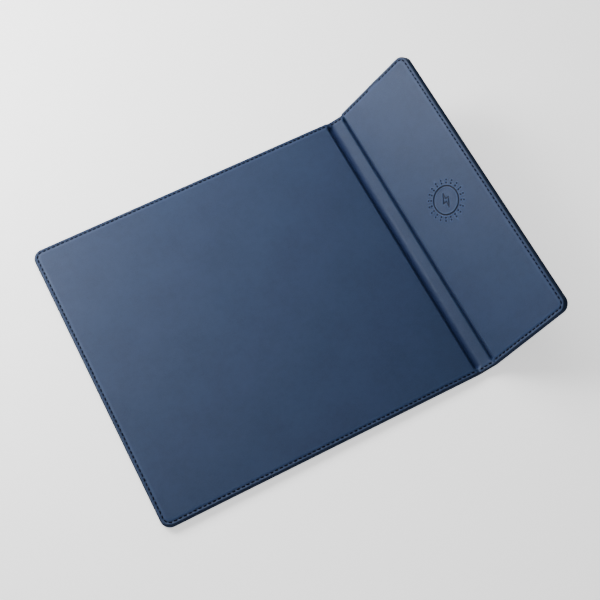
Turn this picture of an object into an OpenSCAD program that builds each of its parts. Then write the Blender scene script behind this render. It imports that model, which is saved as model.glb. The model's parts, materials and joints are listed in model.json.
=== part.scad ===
// Folding desk mat with a wireless charging flap.
// A padded leatherette mat, a narrow padded spine and a charging flap are joined
// by two pressed creases. The origin is the centre of the mat's underside,
// +X points to the flap, +Y to the side with the charging port, +Z up.

/* [Mat] */
// Length of the mat from its free edge to the first crease
pad_l = 245; // [180:1:320]
// Width of the mat, the spine and the flap
body_w = 230; // [170:1:300]
// Thickness of the mat
pad_t = 5.2; // [4.6:0.1:5.6]
// Radius of the four outer corners
corner_r = 7.5; // [4:0.5:14]

/* [Spine] */
// Distance between the two creases
spine_l = 14; // [13:0.5:20]
// Thickness of the spine's pillow
spine_t = 3.4; // [3:0.1:3.8]
// Lean of the spine above the desk at the first crease, as it stands
spine_angle = 18; // [0:1:60]

/* [Flap] */
// Length of the flap from the second crease to its free edge
flap_l = 71; // [68:1:90]
// Thickness of the flap
flap_t = 5.6; // [5.6:0.1:6.4]
// Lean of the flap above the spine at the second crease, as it stands
flap_angle = 27; // [0:1:60]

/* [Leatherette and thread] */
// Thickness of the leatherette
skin_t = 0.9; // [0.7:0.1:1]
// Distance of the stitch line from the edge
stitch_inset = 2.5; // [2:0.1:4]
// Distance from one stitch to the next
stitch_pitch = 3.6; // [3:0.1:6]
// Length of one visible stitch
stitch_l = 2.4; // [1.6:0.1:2.8]
// Radius of the thread
thread_r = 0.3; // [0.2:0.05:0.35]

/* [Charging mark] */
// Diameter of the pressed ring
ring_d = 21; // [16:0.1:30]
// Number of pressed dot pairs around the ring
dot_pairs = 20; // [12:1:24]
// Distance of the ring's centre from the flap's centre line
coil_y = 2.8; // [-10:0.2:10]
// Depth of the pressed mark
press_d = 0.35; // [0.2:0.05:0.5]

/* [Charger] */
// Number of turns of the coil
coil_turns = 10; // [6:1:11]
// Inner radius of the coil
coil_in_r = 10.5; // [9:0.5:11]
// Wire pitch of the coil
coil_pitch = 1; // [0.95:0.05:1.05]
// Width of the opening left in the stitching for the port
port_gap = 13.7; // [12:0.1:16]

/* [Hidden] */

$fn = 48;
e = 0.01;                                   // overrun of a cut
axis_z = skin_t;                            // height of both crease axes above the desk when flat
half_w = body_w / 2;
pad_x1 = pad_l / 2;                         // first crease
bead_r = skin_t;                            // rounded end of the spine at a crease
bead_gap = 0.25;                            // running clearance around the bead
socket = bead_r + bead_gap;
wall_lean = 32.5;                           // lean of the mat's and the flap's wall beside a crease
shoulder_lean = 58.5;                       // lean of the spine's shoulders
wall_back = 0.2;                            // both walls stand back from the crease axis

// Distance from the crease of a leaning wall's face at a height above the desk
function wall_at(z, lean) = wall_back / cos(lean) + (z - axis_z) * tan(lean);

foam_t = 1.4;                               // mat foam
pad_foam_z = pad_t - skin_t - foam_t;
flap_foam_t = 0.8;
flap_foam_z = flap_t - skin_t - flap_foam_t;
fit = 0.05;                                 // clearance between layers and their neighbours
flap_mid = (wall_at(flap_t, wall_lean) + flap_l) / 2;   // centre of the flap's top face
socket_top = 1.8 * socket;                  // height of the cut that clears the folded spine

/* ---------- placing ---------- */

// Carries a shape drawn from the first crease (x = 0 there, z = 0 the desk) to the spine
module on_spine() {
    translate([pad_x1, 0, axis_z])
        rotate([0, -spine_angle, 0])
            translate([0, 0, -axis_z]) children();
}

// Carries a shape drawn from the second crease to the flap
module on_flap() {
    on_spine() translate([spine_l, 0, axis_z])
        rotate([0, -flap_angle, 0])
            translate([0, 0, -axis_z]) children();
}

// Turns a shape drawn for the flap into the mat's end of a crease
module mat_side() {
    translate([pad_x1, 0, 0]) mirror([1, 0, 0]) children();
}

/* ---------- shared shapes ---------- */

// Plate from z0 to z1 whose far corners are rounded; it starts at x0 and ends at x1
module plate(x0, x1, w, r, z0, z1) {
    translate([0, 0, z0]) linear_extrude(z1 - z0) difference() {
        translate([x0, -w / 2]) square([x1 - x0, w]);
        for (s = [-1, 1]) difference() {
            translate([x1 - r, s > 0 ? w / 2 - r : -w / 2 - e]) square([r + e, r + e]);
            translate([x1 - r, s * (w / 2 - r)]) circle(r, $fn = 64);
        }
    }
}

// Leatherette top of a padded panel of length l and thickness t: it covers the face,
// turns down over the three free edges and down the leaning wall into the crease
module panel_top(l, t) {
    inner_x = skin_t / cos(wall_lean);
    difference() {
        plate(-1, l, body_w, corner_r, skin_t, t);
        // hollow for the foam and the board
        intersection() {
            plate(-2, l - skin_t, body_w - 2 * skin_t, corner_r - skin_t, 0, t - skin_t);
            rotate([90, 0, 0]) linear_extrude(body_w * 2, center = true) polygon([
                [wall_at(0, wall_lean) + inner_x, 0],
                [wall_at(t, wall_lean) + inner_x, t],
                [l + 1, t],
                [l + 1, 0]]);
        }
        // leaning wall beside the crease
        rotate([90, 0, 0]) linear_extrude(body_w * 2, center = true) polygon([
            [-2, -1],
            [socket, -1],
            [socket, socket_top],
            [max(socket, wall_at(socket_top, wall_lean)), socket_top],
            [wall_at(t + 1, wall_lean), t + 1],
            [-2, t + 1]]);
    }
}

// Flat leatherette sheet under a panel, ending in a hollow that clears the spine's bead
module panel_bottom(l) {
    difference() {
        plate(0, l, body_w, corner_r, 0, skin_t - fit / 2);
        translate([0, 0, axis_z]) rotate([90, 0, 0]) cylinder(r = socket, h = body_w * 2, center = true);
    }
}

// Flat core layer of a panel, between the turned-down edges
module panel_core(l, z0, z1) {
    inner_x = skin_t / cos(wall_lean);
    intersection() {
        plate(0, l - skin_t - fit, body_w - 2 * (skin_t + fit), corner_r - skin_t, z0, z1);
        rotate([90, 0, 0]) linear_extrude(body_w * 2, center = true) polygon([
            [wall_at(0, wall_lean) + inner_x + fit, 0],
            [wall_at(z1, wall_lean) + inner_x + fit, z1],
            [l, z1],
            [l, 0]]);
    }
}

// One stitch along X, lying at the origin
module stitch() {
    rotate([0, 90, 0]) cylinder(r = thread_r, h = stitch_l, center = true, $fn = 16);
}

// Row of stitches centred between x0 and x1 at one y, leaving out those inside a gap
module stitch_row(x0, x1, y, gap_mid = 0, gap = 0) {
    n = floor((x1 - x0) / stitch_pitch);
    for (i = [0:n - 1]) {
        x = (x0 + x1) / 2 + (i - (n - 1) / 2) * stitch_pitch;
        if (abs(x - gap_mid) > (gap + stitch_l) / 2) translate([x, y, 0]) stitch();
    }
}

// Stitches around the three free edges of a panel of length l
module stitch_u(l, x0, gap = 0) {
    r = corner_r - stitch_inset;
    x1 = l - stitch_inset - r;
    for (s = [-1, 1]) {
        stitch_row(x0, x1, s * (half_w - stitch_inset), flap_mid, s > 0 ? gap : 0);
        // the stitches that turn each corner
        n = max(1, round(PI * r / 2 / stitch_pitch));
        for (i = [0:n - 1]) let (a = (i + 0.5) * 90 / n)
            translate([x1 + r * sin(a), s * (half_w - corner_r + r * cos(a)), 0])
                rotate([0, 0, -s * a]) stitch();
    }
    translate([l - stitch_inset, 0, 0]) rotate([0, 0, 90])
        stitch_row(-half_w + corner_r, half_w - corner_r, 0);
}

thread_up = thread_r / 2;                   // thread standing proud of the top face
groove_w = 2 * thread_r + 0.3;              // channel pressed by the thread

// Shallow channel along the three free edges, from z0 to z1
module channel_u(l, x0, z0, z1) {
    r = corner_r - stitch_inset + groove_w / 2;
    intersection() {
        difference() {
            plate(-1, l - stitch_inset + groove_w / 2, body_w - 2 * stitch_inset + groove_w, r, z0, z1);
            plate(-2, l - stitch_inset - groove_w / 2, body_w - 2 * stitch_inset - groove_w,
                  r - groove_w, z0 - 1, z1 + 1);
        }
        translate([x0, -half_w, z0]) cube([l, body_w, z1 - z0]);
    }
}

channel_d = 1.5 * thread_r + fit;           // depth of the channels below a face
pad_row_x0 = wall_at(pad_t, wall_lean) + 1; // where the mat's stitch rows begin
flap_row_x0 = wall_at(flap_t, wall_lean) + 1;

/* ---------- mat ---------- */

module pad_top_cover() {
    color("#26375c") mat_side() difference() {
        panel_top(pad_l, pad_t);
        channel_u(pad_l, pad_row_x0 - 0.5, pad_t - channel_d, pad_t + 1);
    }
}

module pad_foam() {
    color("#3a3d42") mat_side() panel_core(pad_l, pad_foam_z + fit, pad_t - skin_t - fit);
}

module pad_board() {
    color("#b59a72") mat_side() panel_core(pad_l, skin_t + fit, pad_foam_z);
}

module pad_bottom_cover() {
    color("#22304f") mat_side() difference() {
        panel_bottom(pad_l);
        channel_u(pad_l, pad_row_x0 - 0.5, -1, thread_r * 2 + fit);
    }
}

module pad_top_stitches() {
    color("#141c33") mat_side() translate([0, 0, pad_t - thread_r + thread_up])
        stitch_u(pad_l, pad_row_x0);
}

module pad_bottom_stitches() {
    color("#141c33") mat_side() translate([0, 0, thread_r]) stitch_u(pad_l, pad_row_x0);
}

/* ---------- spine ---------- */

// Section of the spine between heights lo and hi, drawn back by a margin all round
module spine_section(lo, hi, margin) {
    foot = wall_at(lo, shoulder_lean) + margin / cos(shoulder_lean);
    top = wall_at(hi, shoulder_lean) + margin / cos(shoulder_lean);
    rotate([90, 0, 0]) linear_extrude(body_w, center = true) polygon([
        [foot, lo], [spine_l - foot, lo], [spine_l - top, hi], [top, hi]]);
}

web_top = 2 * skin_t;                       // top of the pressed leatherette beside a crease
spine_rows = [wall_at(spine_t, shoulder_lean), spine_l - wall_at(spine_t, shoulder_lean)];

module spine_top_cover() {
    color("#26375c") on_spine() difference() {
        union() {
            for (x = [0, spine_l]) translate([x, 0, axis_z]) rotate([90, 0, 0])
                cylinder(r = bead_r, h = body_w, center = true);
            translate([0, -half_w, skin_t]) cube([spine_l, body_w, web_top - skin_t]);
            spine_section(web_top - e, spine_t, 0);
        }
        translate([-1, -half_w - 1, -1]) cube([spine_l + 2, body_w + 2, skin_t + 1]);
        intersection() {
            spine_section(0, spine_t - skin_t, skin_t);
            cube([100, body_w - 2 * skin_t, 20], center = true);
        }
        for (s = [-1, 1]) translate([spine_rows[0], s * (half_w - stitch_inset) - groove_w / 2,
                                     spine_t - channel_d])
            cube([spine_rows[1] - spine_rows[0], groove_w, 1]);
    }
}

module spine_board() {
    color("#b59a72") on_spine() intersection() {
        spine_section(skin_t + fit, spine_t - skin_t - fit, skin_t + fit);
        cube([100, body_w - 2 * (skin_t + fit), 20], center = true);
    }
}

module spine_bottom_cover() {
    color("#22304f") on_spine() difference() {
        union() {
            for (x = [0, spine_l]) translate([x, 0, axis_z]) rotate([90, 0, 0])
                cylinder(r = bead_r, h = body_w, center = true);
            translate([0, -half_w, 0]) cube([spine_l, body_w, skin_t]);
        }
        translate([-2, -half_w - 1, skin_t - fit / 2]) cube([spine_l + 4, body_w + 2, 5]);
        for (s = [-1, 1]) translate([spine_rows[0], s * (half_w - stitch_inset) - groove_w / 2, -1])
            cube([spine_rows[1] - spine_rows[0], groove_w, 1 + thread_r * 2 + fit]);
    }
}

// The few stitches that cross each end of the spine
module spine_stitches(z) {
    for (s = [-1, 1]) translate([0, 0, z])
        stitch_row(spine_rows[0] - 1, spine_rows[1] + 1, s * (half_w - stitch_inset));
}

module spine_top_stitches() {
    color("#141c33") on_spine() spine_stitches(spine_t - thread_r + thread_up);
}

module spine_bottom_stitches() {
    color("#141c33") on_spine() spine_stitches(thread_r);
}

/* ---------- charger layout, measured on the flap ---------- */

case_l = 50;                                // along the flap's length
case_x = flap_mid - case_l / 2;
case_y0 = coil_y - 27;
case_y1 = half_w - 3.4;
case_w = case_y1 - case_y0;
case_r = 4;
case_z = skin_t + fit;
case_top = flap_foam_z - fit;
case_wall = 0.8;
case_floor = 0.5;
lid_t = 0.5;
floor_z = case_z + case_floor;
lid_z = case_top - lid_t;

plate_w = 43;                               // ferrite plate
plate_t = 0.5;
tape_t = 0.1;
wire_r = 0.45;
plate_z = floor_z + fit;
tape_z = plate_z + plate_t;
coil_z = tape_z + tape_t;                   // underside of the winding
lead_w = 0.6;
lead_t = 0.15;
lead_z = coil_z + 2 * wire_r + fit;         // leads cross above the winding

board_t = 0.8;
rib_h = 0.2;                                // ribs that carry the board
board_z = floor_z + rib_h;
chip_z = board_z + board_t;
chip_h = 0.8;
board_l = 44;
board_w = 36;
board_x = flap_mid - board_l / 2;
board_y1 = case_y1 - case_wall - 0.3;
board_y0 = board_y1 - board_w;

shell_w = 8.94;                             // standard receptacle
shell_h = 3.16;
shell_d = 7.35;
shell_t = 0.3;
shell_z = skin_t + 0.3;
shell_y1 = half_w - 0.6;
shell_y0 = shell_y1 - shell_d;
bezel_w = 12.6;
bezel_h = 3.8;
bezel_y0 = half_w - 2.6;
boss_r = 2.1;
screw_r = 0.8;

/* ---------- flap ---------- */

// Rounded rectangle the size of the port's bezel, grown by a margin, along Y
module port_block(w, h, z, y0, y1, margin) {
    r = h / 2 + margin;
    translate([flap_mid, y1, z + h / 2]) rotate([90, 0, 0]) linear_extrude(y1 - y0)
        union() {
            square([w - h, 2 * r], center = true);
            for (s = [-1, 1]) translate([s * (w - h) / 2, 0]) circle(r);
        }
}

// Pressed lightning bolt, centred
module bolt_mark(h) {
    w = h * 0.55;
    polygon([
        [0.10 * w, h / 2],
        [-w / 2, -0.08 * h],
        [-0.04 * w, -0.08 * h],
        [-0.10 * w, -h / 2],
        [w / 2, 0.10 * h],
        [0.06 * w, 0.10 * h]]);
}

module charging_mark() {
    line_w = 0.9;
    translate([flap_mid, coil_y, flap_t - press_d]) {
        difference() {
            cylinder(r = (ring_d + line_w) / 2, h = 2, $fn = 96);
            translate([0, 0, -1]) cylinder(r = (ring_d - line_w) / 2, h = 4, $fn = 96);
        }
        for (i = [0:dot_pairs - 1]) rotate([0, 0, i * 360 / dot_pairs]) {
            translate([0.6 * ring_d, 0, 0]) cylinder(r = 0.45, h = 2, $fn = 16);
            translate([0.7 * ring_d, 0, 0]) cylinder(r = 0.35, h = 2, $fn = 16);
        }
        linear_extrude(2) bolt_mark(9.5);
    }
}

module flap_top_cover() {
    color("#26375c") on_flap() difference() {
        panel_top(flap_l, flap_t);
        channel_u(flap_l, flap_row_x0 - 0.5, flap_t - channel_d, flap_t + 1);
        charging_mark();
        port_block(bezel_w, bezel_h, skin_t + fit, half_w - 3, half_w + 1, fit / 2);
    }
}

module flap_foam() {
    color("#3a3d42") on_flap() difference() {
        panel_core(flap_l, flap_foam_z, flap_t - skin_t - fit);
        translate([flap_mid - bezel_w / 2 - 0.3, shell_y0 - 0.6, 0]) cube([bezel_w + 0.6, 20, 20]);
    }
}

module flap_frame() {
    color("#b59a72") on_flap() difference() {
        panel_core(flap_l, skin_t + fit, flap_foam_z - fit);
        translate([case_x - 0.3, case_y0 - 0.3, 0]) cube([case_l + 0.6, case_w + 0.6, 20]);
        translate([flap_mid - bezel_w / 2 - 0.3, case_y1 - 1, 0]) cube([bezel_w + 0.6, 20, 20]);
    }
}

module flap_bottom_cover() {
    color("#22304f") on_flap() difference() {
        panel_bottom(flap_l);
        channel_u(flap_l, flap_row_x0 - 0.5, -1, thread_r * 2 + fit);
    }
}

module flap_top_stitches() {
    color("#141c33") on_flap() translate([0, 0, flap_t - thread_r + thread_up])
        stitch_u(flap_l, flap_row_x0, port_gap);
}

module flap_bottom_stitches() {
    color("#141c33") on_flap() translate([0, 0, thread_r]) stitch_u(flap_l, flap_row_x0, port_gap);
}

/* ---------- charger ---------- */

// Round-cornered block of the charger case, drawn in by a margin
module case_block(margin, z0, z1) {
    r = case_r - margin;
    translate([case_x + margin, case_y0 + margin, z0]) linear_extrude(z1 - z0) union() {
        translate([r, 0]) square([case_l - 2 * case_r, case_w - 2 * margin]);
        translate([0, r]) square([case_l - 2 * margin, case_w - 2 * case_r]);
        for (x = [r, case_l - 2 * margin - r], y = [r, case_w - 2 * margin - r])
            translate([x, y]) circle(r);
    }
}

// Centres of the four case screws
function screw_at(i) = [
    i <= 2 ? case_x + 3.2 : case_x + case_l - 3.2,
    i % 2 == 1 ? case_y0 + 3.2 : case_y1 - 3.2];

module case_base() {
    color("#2b2b2e") on_flap() difference() {
        union() {
            difference() {
                case_block(0, case_z, lid_z);
                case_block(case_wall, floor_z, lid_z + 1);
            }
            intersection() {
                case_block(0, case_z, lid_z);
                for (i = [1:4]) translate([screw_at(i)[0], screw_at(i)[1], case_z])
                    cylinder(r = boss_r, h = lid_z - case_z);
            }
            for (y = [board_y0 + 1, board_y0 + board_w / 2])
                translate([board_x, y, case_z]) cube([board_l, 1.2, board_z - fit / 2 - case_z]);
        }
        for (i = [1:4]) translate([screw_at(i)[0], screw_at(i)[1], floor_z])
            cylinder(r = screw_r + 0.02, h = 10);
        translate([flap_mid - shell_w / 2 - 0.2, shell_y0 - 0.4, 0]) cube([shell_w + 0.4, 20, 20]);
    }
}

module case_lid() {
    color("#2b2b2e") on_flap() difference() {
        case_block(0, lid_z, case_top);
        for (i = [1:4]) translate([screw_at(i)[0], screw_at(i)[1], lid_z - 1]) {
            cylinder(r = screw_r + 0.1, h = 5);
            translate([0, 0, 1.15]) cylinder(r = 1.6, h = 5);
        }
        translate([flap_mid - shell_w / 2 - 0.2, shell_y0 - 0.4, 0]) cube([shell_w + 0.4, 20, 20]);
    }
}

module case_screw(i) {
    color("#a9abb0") on_flap() translate([screw_at(i)[0], screw_at(i)[1], 0]) difference() {
        union() {
            translate([0, 0, floor_z + 0.1]) cylinder(r = screw_r, h = lid_z - floor_z + 0.2);
            translate([0, 0, lid_z + 0.2]) cylinder(r = 1.5, h = lid_t - 0.2);
        }
        translate([-1.1, -0.15, case_top - 0.15]) cube([2.2, 0.3, 1]);
        translate([-0.15, -1.1, case_top - 0.15]) cube([0.3, 2.2, 1]);
    }
}

module ferrite_plate() {
    color("#3b3a3c") on_flap() translate([flap_mid - plate_w / 2, coil_y - plate_w / 2, plate_z])
        cube([plate_w, plate_w, plate_t]);
}

module coil_tape() {
    color("#d8cfae") on_flap() translate([flap_mid, coil_y, tape_z]) difference() {
        cylinder(r = plate_w / 2 - 0.3, h = tape_t, $fn = 96);
        translate([0, 0, -1]) cylinder(r = 8, h = 3, $fn = 96);
    }
}

// Flat spiral built of half turns whose centres swap sides, so that each meets the next
module coil_winding() {
    color("#b5652d") on_flap() translate([flap_mid, coil_y, coil_z + wire_r])
        for (i = [0:2 * coil_turns - 1]) {
            r = coil_in_r + i * coil_pitch / 2;
            side = i % 2 == 0 ? 0 : 1;
            translate([side * coil_pitch / 2, 0, 0]) rotate([0, 0, side * 180])
                rotate_extrude(angle = 180) translate([r, 0]) circle(wire_r, $fn = 16);
        }
}

// Flat lead between two points in the plane
module lead(a, b) {
    d = b - a;
    translate(a) circle(lead_w / 2, $fn = 24);
    translate(b) circle(lead_w / 2, $fn = 24);
    translate(a) rotate(atan2(d[1], d[0])) translate([0, -lead_w / 2])
        square([norm(d), lead_w]);
}

// Flat tails of the winding that run to two pads on the board
module coil_leads() {
    inner_x = flap_mid + coil_in_r - 3;
    outer_x = flap_mid + coil_in_r + 3;
    coil_out_r = coil_in_r + coil_turns * coil_pitch;
    pads_y = board_y0 + 3;
    color("#c98a4b") on_flap() {
        translate([0, 0, lead_z]) linear_extrude(lead_t) {
            lead([flap_mid + coil_in_r, coil_y], [inner_x, coil_y + 12]);
            lead([inner_x, coil_y + 12], [inner_x, pads_y]);
        }
        translate([0, 0, lead_z]) linear_extrude(lead_t) {
            lead([flap_mid + coil_out_r, coil_y], [flap_mid + coil_out_r, coil_y + 22]);
            lead([flap_mid + coil_out_r, coil_y + 22], [outer_x, coil_y + 28]);
            lead([outer_x, coil_y + 28], [outer_x, pads_y]);
        }
        for (x = [inner_x, outer_x]) translate([x, pads_y, chip_z])
            cylinder(r = 0.8, h = lead_z - chip_z);
    }
}

module temperature_sensor() {
    color("#c9bb8f") on_flap() translate([flap_mid, coil_y, tape_z + fit]) {
        cylinder(r = 1.3, h = 0.9);
        translate([-0.2, -6, 0]) cube([0.4, 6, 0.3]);
    }
}

module circuit_board() {
    color("#1d5b3a") on_flap() difference() {
        translate([board_x, board_y0, board_z]) cube([board_l, board_w, board_t]);
        translate([flap_mid - shell_w / 2 - 0.1, shell_y0 - 0.1, 0]) cube([shell_w + 0.2, 20, 20]);
        for (i = [2, 4]) translate([screw_at(i)[0], screw_at(i)[1], 0])
            cylinder(r = boss_r + 0.2, h = 20);
    }
}

// A flat component on the board, centred at x and y from the board's centre line and near edge
module chip(x, y, w, d, h) {
    translate([flap_mid + x - w / 2, board_y0 + y - d / 2, chip_z]) cube([w, d, h]);
}

module controller_chip() {
    color("#1c1c1f") on_flap() chip(-6, 14, 7, 7, chip_h);
}

module power_transistor(i) {
    color("#232326") on_flap() chip(2 + 5 * (i % 2), i <= 2 ? 11 : 16.5, 3.3, 3.3, chip_h);
}

module resonance_capacitor(i) {
    color("#b79a6a") on_flap() chip(-16 + 4.2 * (i - 1), 4, 3.2, 2.5, chip_h);
}

module input_capacitor(i) {
    color("#b79a6a") on_flap() chip(-14, 17 + 4.5 * i, 3.2, 2.5, chip_h);
}

module input_choke() {
    color("#3a3a3d") on_flap() chip(14, 22, 6, 6, chip_h);
}

module indicator_led() {
    color("#e8e6da") on_flap() chip(12, 30, 1.6, 0.8, 0.5);
}

module usb_c_shell() {
    color("#b9bbc0") on_flap() difference() {
        port_block(shell_w, shell_h, shell_z, shell_y0, shell_y1, 0);
        port_block(shell_w, shell_h, shell_z, shell_y0 + 0.8, shell_y1 + 1, -shell_t);
    }
}

module usb_c_tongue() {
    color("#1a1a1c") on_flap() translate([flap_mid - 3.35, shell_y0 + 0.8, shell_z + shell_h / 2 - 0.35])
        cube([6.7, shell_d - 2.2, 0.7]);
}

module usb_c_contacts() {
    color("#d6b25a") on_flap() for (i = [-5:5], s = [-1, 1])
        translate([flap_mid + i * 0.5 - 0.12, shell_y0 + 2.2, shell_z + shell_h / 2 + s * 0.39 - 0.04])
            cube([0.24, 3.4, 0.08]);
}

module port_bezel() {
    color("#1b1c20") on_flap() difference() {
        port_block(bezel_w, bezel_h, skin_t + fit, bezel_y0, half_w, -fit);
        port_block(shell_w, shell_h, shell_z, bezel_y0 - 1, half_w + 1, 0.03);
    }
}

/* ---------- all pieces ---------- */

pad_top_cover();
pad_foam();
pad_board();
pad_bottom_cover();
pad_top_stitches();
pad_bottom_stitches();
spine_top_cover();
spine_board();
spine_bottom_cover();
spine_top_stitches();
spine_bottom_stitches();
flap_top_cover();
flap_foam();
flap_frame();
flap_bottom_cover();
flap_top_stitches();
flap_bottom_stitches();
case_base();
case_lid();
ferrite_plate();
coil_tape();
coil_winding();
coil_leads();
temperature_sensor();
circuit_board();
controller_chip();
input_choke();
indicator_led();
usb_c_shell();
usb_c_tongue();
usb_c_contacts();
port_bezel();
for (i = [1:4]) case_screw(i);
for (i = [1:4]) power_transistor(i);
for (i = [1:4]) resonance_capacitor(i);
for (i = [1:2]) input_capacitor(i);
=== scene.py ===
"""Looks of the folding desk mat with its charging flap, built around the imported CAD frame."""
import json
import math

import bpy
import numpy as np
from mathutils import Matrix, Vector


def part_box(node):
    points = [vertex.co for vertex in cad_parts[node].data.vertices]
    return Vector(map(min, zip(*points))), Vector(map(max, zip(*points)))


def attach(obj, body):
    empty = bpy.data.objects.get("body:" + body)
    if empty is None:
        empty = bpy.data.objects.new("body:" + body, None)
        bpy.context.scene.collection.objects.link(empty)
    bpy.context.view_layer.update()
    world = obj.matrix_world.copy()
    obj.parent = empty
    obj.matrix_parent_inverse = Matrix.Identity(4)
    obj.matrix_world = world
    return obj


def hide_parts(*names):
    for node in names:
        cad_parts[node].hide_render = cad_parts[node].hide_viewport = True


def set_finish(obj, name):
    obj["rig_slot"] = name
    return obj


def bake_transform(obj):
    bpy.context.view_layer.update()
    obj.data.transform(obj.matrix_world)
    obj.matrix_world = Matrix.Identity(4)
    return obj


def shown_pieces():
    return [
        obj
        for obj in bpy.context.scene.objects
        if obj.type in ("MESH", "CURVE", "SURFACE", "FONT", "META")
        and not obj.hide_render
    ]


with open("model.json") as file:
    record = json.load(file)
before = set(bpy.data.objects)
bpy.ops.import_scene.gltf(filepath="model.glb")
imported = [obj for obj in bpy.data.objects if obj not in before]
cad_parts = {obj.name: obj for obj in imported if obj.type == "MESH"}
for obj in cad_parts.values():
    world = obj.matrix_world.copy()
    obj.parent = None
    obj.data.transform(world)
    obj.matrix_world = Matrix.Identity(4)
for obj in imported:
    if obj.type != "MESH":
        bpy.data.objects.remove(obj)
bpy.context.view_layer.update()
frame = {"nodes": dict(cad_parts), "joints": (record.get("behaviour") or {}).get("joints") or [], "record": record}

MM = 0.001


# ---------------------------------------------------------------- measures from the frame

def node_points(name):
    """The vertices of a CAD node at rest, as an array in the row frame."""
    return np.array([v.co for v in frame["nodes"][name].data.vertices], float)


joints = {j["name"]: j for j in frame["joints"]}
mounts = {m["name"]: m for m in frame["record"]["mounts"]}
crease_1 = np.array(joints["pad_crease_fold"]["pos_m"])
crease_2 = np.array(joints["flap_crease_fold"]["pos_m"])
axis_h = crease_1[2]                      # the crease axes' height above the underside
spine_step = crease_2 - crease_1
spine_l = float(np.hypot(spine_step[0], spine_step[2]))
spine_lean = math.atan2(spine_step[2], spine_step[0])
flap_normal = mounts["phone_face"]["axis"]
flap_lean = math.atan2(-flap_normal[0], flap_normal[2])
flap_fold = flap_lean - spine_lean


def in_panel(points, origin, lean):
    """Points as (distance from the crease, y, height above the underside) of a leaning panel."""
    d = points - origin
    c, s = math.cos(lean), math.sin(lean)
    return np.stack([d[:, 0] * c + d[:, 2] * s, points[:, 1], d[:, 2] * c - d[:, 0] * s + axis_h], 1)


flap_top = in_panel(node_points("flap_top_cover"), crease_2, flap_lean)
spine_top = in_panel(node_points("spine_top_cover"), crease_1, spine_lean)
shell = in_panel(node_points("usb_c_shell"), crease_2, flap_lean)
bezel = in_panel(node_points("port_bezel"), crease_2, flap_lean)
pad_lo, pad_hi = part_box("pad_top_cover")
half_w = pad_hi[1]
pad_l = crease_1[0] - pad_lo[0]
pad_t = pad_hi[2]
flap_l = flap_top[:, 0].max()
flap_t = flap_top[:, 2].max()
spine_t = spine_top[:, 2].max()
port_x = (shell[:, 0].min() + shell[:, 0].max()) / 2       # along the flap from the crease
port_z = (shell[:, 2].min() + shell[:, 2].max()) / 2
mark_x = port_x
coil_lo, coil_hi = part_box("coil_tape")
mark_y = (coil_lo[1] + coil_hi[1]) / 2

CORNER_R = 7.5 * MM
WEB_TOP = 1.45 * MM                       # leatherette pressed together beside a crease
WALL_RUN = 0.57                           # a panel wall's run for its rise
EDGE_SPINE = 3.6 * MM                     # the spine's sewn ends, and where they cross a crease
EDGE_CREASE = 4.1 * MM
EDGE_RISE = 2.0 * MM                      # a panel's sewn edge is at full height this far from the crease
BLEND_PANEL = 1.3 * MM                    # the stretch of skin that bends at a crease
BLEND_SPINE = 1.7 * MM
STITCH_IN = 2.5 * MM
STITCH_PITCH = 3.6 * MM
STITCH_L = 2.35 * MM
SPINE_PITCH = 3.4 * MM                    # from stitch to stitch across the spine's ends
SEAM_START = 2.8 * MM                     # where a panel's stitches begin beside the crease
PORT_GAP = 13.7 * MM
RING_R = 10.5 * MM
RING_W = 0.9 * MM
DOT_PAIRS = 20
PRESS_D = 0.42 * MM
SWELL_UP = 0.12 * MM                      # how far the leatherette swells beside the pressed mark
MARK_R = 16.0 * MM                        # half of the square that is meshed finely for the mark
MARK_STEP = 0.22 * MM
SHADE = 0.58                              # painted shade: the most of the crease's dark tone painted up the spine's shoulder
SHADE_Y = -20 * MM                        # it starts here across the object
SHADE_X = 0.5 * MM                        # and here from the middle of the spine,
SHADE_RUN = 4.5 * MM                      # and grows over this distance towards the crease
DARK_RISE = 0.8 * MM                      # the crease's dark tone, a darker pressed web and painted shade, fades over this height up a panel

# ---------------------------------------------------------------- camera

camera_data = bpy.data.cameras.new("camera")
camera = bpy.data.objects.new("camera", camera_data)
bpy.context.scene.collection.objects.link(camera)
bpy.context.scene.camera = camera
CAMERA_AT = Vector((-0.1481, -0.33786, 0.85402))
ELEVATION = math.radians(66.006)
HEADING = math.radians(29.013)            # turned from +Y towards +X
ROLL = math.radians(1.740)
forward = Vector((math.sin(HEADING) * math.cos(ELEVATION), math.cos(HEADING) * math.cos(ELEVATION),
                  -math.sin(ELEVATION)))
level = Vector((math.cos(HEADING), -math.sin(HEADING), 0))
upright = level.cross(forward)
right = level * math.cos(ROLL) + upright * math.sin(ROLL)
up = right.cross(forward)
camera.matrix_world = Matrix((
    (right.x, up.x, -forward.x, CAMERA_AT.x),
    (right.y, up.y, -forward.y, CAMERA_AT.y),
    (right.z, up.z, -forward.z, CAMERA_AT.z),
    (0, 0, 0, 1)))
camera_data.lens = 77.435
camera_data.sensor_width = 36
camera_data.clip_start = 0.01
camera_data.clip_end = 50


# ---------------------------------------------------------------- section along the length

def smooth(t):
    """0 to 1 with level ends."""
    t = np.clip(t, 0, 1)
    return t * t * (3 - 2 * t)


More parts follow.
